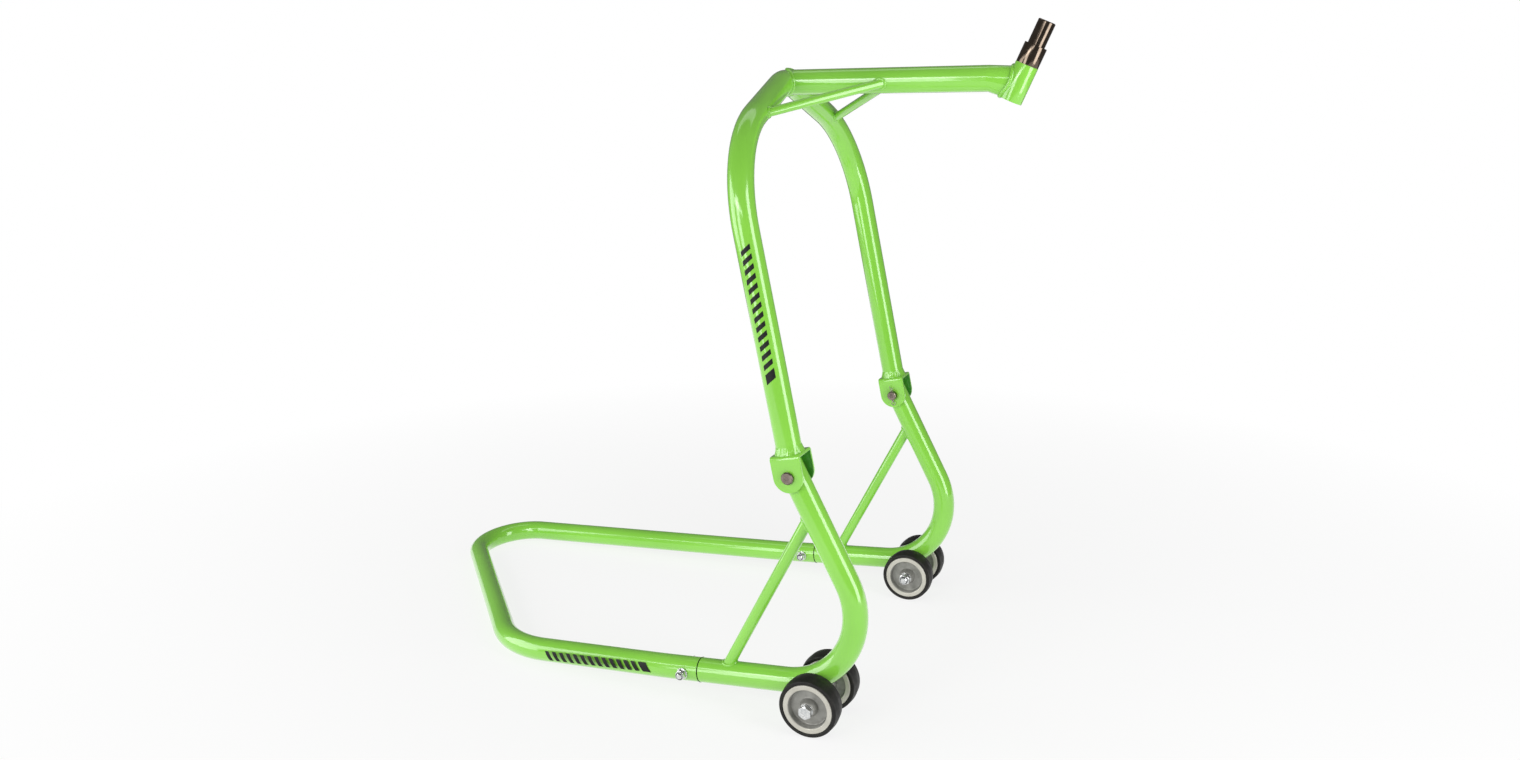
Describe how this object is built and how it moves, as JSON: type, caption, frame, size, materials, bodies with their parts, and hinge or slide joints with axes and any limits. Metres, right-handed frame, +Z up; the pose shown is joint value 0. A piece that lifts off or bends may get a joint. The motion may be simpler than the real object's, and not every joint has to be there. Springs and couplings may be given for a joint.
{
  "type": "motorcycle paddock stand",
  "caption": "Steel tube stand with a floor handle loop, small wheels on bent side arms, and a hinged arch with a boom whose raked pin fits up into a motorcycle's steering stem.",
  "frame": {"origin": "middle of the bounding box, on the floor under the wheels and the handle's cross bar", "axes": "+X from the handle towards the wheels and the boom's end, +Y to the stand's left side, +Z up"},
  "size_m": [1.0567, 0.567, 0.8876],
  "materials": {
    "green_paint": "gloss powder coat",
    "tyre": "satin black rubber",
    "wheel_hub": "cast, dull",
    "nylon_bush": "matte",
    "bronze_bush": "sintered, dull",
    "zinc_hardware": "bright zinc plate",
    "bare_steel": "turned, oiled",
    "polished_steel": "polished"
  },
  "bodies": {
    "base": {"handle_tube": "green_paint", "right_spigot": "bare_steel", "left_spigot": "bare_steel", "handle_bolts": "zinc_hardware", "handle_nuts": "zinc_hardware", "handle_washers": "zinc_hardware", "right_arm_tube": "green_paint", "right_arm_brace": "green_paint", "right_pivot_bush": "bronze_bush", "right_axle_sleeve": "green_paint", "right_axle_bolt": "zinc_hardware", "left_arm_tube": "green_paint", "left_arm_brace": "green_paint", "left_pivot_bush": "bronze_bush", "left_axle_sleeve": "green_paint", "left_axle_bolt": "zinc_hardware", "axle_nuts": "zinc_hardware", "axle_washers": "zinc_hardware"},
    "upper_frame": {"arch_tube": "green_paint", "boom_tube": "green_paint", "pin_socket": "green_paint", "right_gusset_rod": "green_paint", "right_clevis": "green_paint", "right_clevis_pin": "bare_steel", "right_cotter_pin": "bare_steel", "left_gusset_rod": "green_paint", "left_clevis": "green_paint", "left_clevis_pin": "bare_steel", "left_cotter_pin": "bare_steel"},
    "right_outer_wheel": {"right_outer_tyre": "tyre", "right_outer_hub": "wheel_hub", "right_outer_bush": "nylon_bush"},
    "right_inner_wheel": {"right_inner_tyre": "tyre", "right_inner_hub": "wheel_hub", "right_inner_bush": "nylon_bush"},
    "left_outer_wheel": {"left_outer_tyre": "tyre", "left_outer_hub": "wheel_hub", "left_outer_bush": "nylon_bush"},
    "left_inner_wheel": {"left_inner_tyre": "tyre", "left_inner_hub": "wheel_hub", "left_inner_bush": "nylon_bush"},
    "removable_pin": {"stem_pin": "polished_steel"}
  },
  "joints": [
    {"name": "upper_frame_hinge", "type": "hinge", "parent": "base", "child": "upper_frame", "pos_m": [0.25673, 0, 0.338], "axis": [0, -1, 0], "range_deg": [0, 110]},
    {"name": "right_outer_wheel_spin", "type": "hinge", "parent": "base", "child": "right_outer_wheel", "pos_m": [0.28673, -0.261, 0.04], "axis": [0, 1, 0], "continuous": true},
    {"name": "right_inner_wheel_spin", "type": "hinge", "parent": "base", "child": "right_inner_wheel", "pos_m": [0.28673, -0.189, 0.04], "axis": [0, 1, 0], "continuous": true},
    {"name": "left_outer_wheel_spin", "type": "hinge", "parent": "base", "child": "left_outer_wheel", "pos_m": [0.28673, 0.261, 0.04], "axis": [0, 1, 0], "continuous": true},
    {"name": "left_inner_wheel_spin", "type": "hinge", "parent": "base", "child": "left_inner_wheel", "pos_m": [0.28673, 0.189, 0.04], "axis": [0, 1, 0], "continuous": true},
    {"name": "stem_pin_slide", "type": "slide", "parent": "upper_frame", "child": "removable_pin", "axis": [0.421, 0, 0.907], "range_m": [0, 0.05]}
  ]
}
